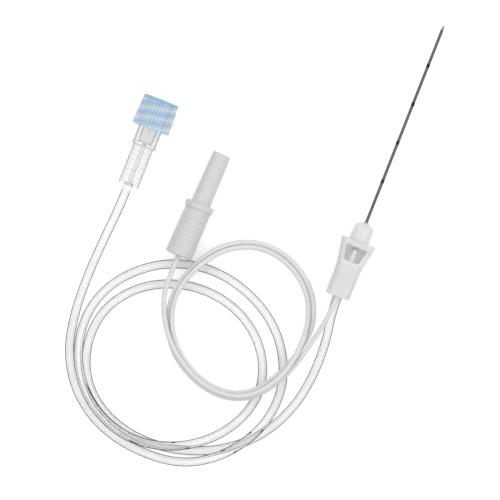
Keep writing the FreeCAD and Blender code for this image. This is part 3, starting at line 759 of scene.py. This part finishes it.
# Hub
def add_nose():
    """The round nose of the hub, sloped to its face, with the well that the adhesive fills."""
    outline = [(NEEDLE_RADIUS, CAVITY_FRONT_Y), (NOSE_BOSS_RADIUS, CAVITY_FRONT_Y),
               (NOSE_BOSS_RADIUS, GRIP_FRONT_Y), (NOSE_RADIUS - 0.05, GRIP_FRONT_Y),
               (NOSE_RADIUS, GRIP_FRONT_Y + 0.06)]
    outline += round_corner((NOSE_RADIUS, NOSE_FRONT_Y - 1.8), (NOSE_RADIUS - 0.02, NOSE_FRONT_Y - 1.3),
                            (2.15, NOSE_FRONT_Y - 1.0), 5)
    outline += round_corner((1.85, NOSE_FRONT_Y - 0.72), (1.45, NOSE_FRONT_Y - 0.4),
                            (1.0, NOSE_FRONT_Y - 0.24), 5)
    outline += [(0.7, NOSE_FRONT_Y - 0.06), (COATED_RADIUS, NOSE_FRONT_Y - 1.2),
                (COATED_RADIUS, COATING_REAR_Y), (NEEDLE_RADIUS, COATING_REAR_Y)]
    return finish_piece("hub_nose", turned(outline, AT_AXIS), MATERIALS["nose"], SET,
                        ["nose_piece"])


def softened_copy(node, piece, material, width, drawn_in=0.0):
    """A dressed copy of a CAD node, merged, with its edges rounded, and drawn in a little if asked."""
    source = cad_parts[node]
    mesh = bmesh.new()
    mesh.from_mesh(source.data)
    bmesh.ops.remove_doubles(mesh, verts=mesh.verts, dist=2e-7)
    bmesh.ops.dissolve_limit(mesh, angle_limit=math.radians(1.0), verts=mesh.verts, edges=mesh.edges)
    mesh.normal_update()
    for vert in mesh.verts:
        vert.co -= vert.normal * drawn_in * MM
    made = finish_piece(piece, mesh, material, SET, [node], 40.0)
    soft = made.modifiers.new("soft_edges", "BEVEL")
    soft.width = width * MM
    soft.segments = 3
    soft.limit_method = "ANGLE"
    soft.angle_limit = math.radians(40.0)
    soft.use_clamp_overlap = True
    return made


hub_nose = add_nose()
hub_grip = softened_copy("grip_housing", "hub_grip", MATERIALS["grip"], 0.12)
hub_core = softened_copy("hub_core", "hub_core_dressed", MATERIALS["core"], 0.06,
                         drawn_in=0.03)


# CAD nodes whose shape is right keep it and get their finish
def dress(node, material):
    """Puts a material on a CAD node."""
    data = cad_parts[node].data
    data.materials.clear()
    data.materials.append(material)


dress("cannula", MATERIALS["steel"])
dress("insulation_coating", MATERIALS["coating"])
for distance in (10, 20, 30, 40):
    dress("depth_mark_%dmm" % distance, MATERIALS["ink"])
dress("adhesive_bead", MATERIALS["adhesive"])
dress("conductor_end", MATERIALS["wire"])
dress("solder_joint", MATERIALS["solder"])
dress("contact_socket", MATERIALS["brass"])
dress("crimped_conductor", MATERIALS["copper"])


# Studio, in metres and watts
SET_MIDDLE = Vector((-0.0237, -0.0325, 0.0))
TABLE_DROP = 0.00002
TABLE_GREY = 0.78
TABLE_GLOW = 0.40
WORLD_LEVEL = 0.80
KEY_POWER = 4.3
FILL_POWER = 5.2


def add_floor():
    """A plain pale table top that shows white to the camera and keeps the object's shadow."""
    mesh = bmesh.new()
    bmesh.ops.create_grid(mesh, x_segments=1, y_segments=1, size=1.5)
    bmesh.ops.translate(mesh, vec=SET_MIDDLE - Vector((0.0, 0.0, TABLE_DROP)), verts=mesh.verts)
    data = bpy.data.meshes.new("table_top")
    mesh.to_mesh(data)
    mesh.free()
    floor = bpy.data.objects.new("table_top", data)
    scene.collection.objects.link(floor)
    material = bpy.data.materials.new("table_white")
    material.use_nodes = True
    tree_nodes, links = material.node_tree.nodes, material.node_tree.links
    shader = tree_nodes["Principled BSDF"]
    shader.inputs["Base Color"].default_value = (TABLE_GREY, TABLE_GREY, TABLE_GREY, 1.0)
    shader.inputs["Roughness"].default_value = 0.9
    shader.inputs["Specular IOR Level"].default_value = 0.0
    shader.inputs["Emission Color"].default_value = (1.0, 1.0, 1.0, 1.0)
    paths = tree_nodes.new("ShaderNodeLightPath")
    math_node = math_maker(tree_nodes, links)
    seen = math_node("MAXIMUM", paths.outputs["Is Camera Ray"], paths.outputs["Is Transmission Ray"])
    seen = math_node("MAXIMUM", seen, paths.outputs["Is Glossy Ray"])
    links.new(math_node("MULTIPLY", seen, TABLE_GLOW), shader.inputs["Emission Strength"])
    data.materials.append(material)


def add_lamp(name, place, size, power):
    """A soft square lamp that faces the middle of the set."""
    data = bpy.data.lights.new(name, "AREA")
    data.size = size
    data.energy = power
    lamp = bpy.data.objects.new(name, data)
    scene.collection.objects.link(lamp)
    lamp.location = place
    aim = SET_MIDDLE - Vector(place)
    lamp.rotation_euler = aim.to_track_quat("-Z", "Y").to_euler()


def add_world():
    """A pale surround, brighter overhead than at the horizon."""
    world = bpy.data.worlds.new("studio")
    scene.world = world
    world.use_nodes = True
    tree_nodes, links = world.node_tree.nodes, world.node_tree.links
    back = tree_nodes["Background"]
    place = tree_nodes.new("ShaderNodeTexCoord")
    split = tree_nodes.new("ShaderNodeSeparateXYZ")
    ramp = tree_nodes.new("ShaderNodeValToRGB")
    ramp.color_ramp.elements[0].position = 0.02
    ramp.color_ramp.elements[0].color = (0.18, 0.18, 0.185, 1.0)
    ramp.color_ramp.elements[1].position = 0.5
    ramp.color_ramp.elements[1].color = (0.95, 0.95, 0.95, 1.0)
    links.new(place.outputs["Generated"], split.inputs["Vector"])
    links.new(split.outputs["Z"], ramp.inputs["Fac"])
    links.new(ramp.outputs["Color"], back.inputs["Color"])
    back.inputs["Strength"].default_value = WORLD_LEVEL


add_floor()
add_world()
add_lamp("key_lamp", (-0.75, 0.35, 0.9), 1.1, KEY_POWER)
add_lamp("fill_lamp", (0.8, 0.1, 0.9), 1.2, FILL_POWER)
scene.view_settings.view_transform = "Standard"
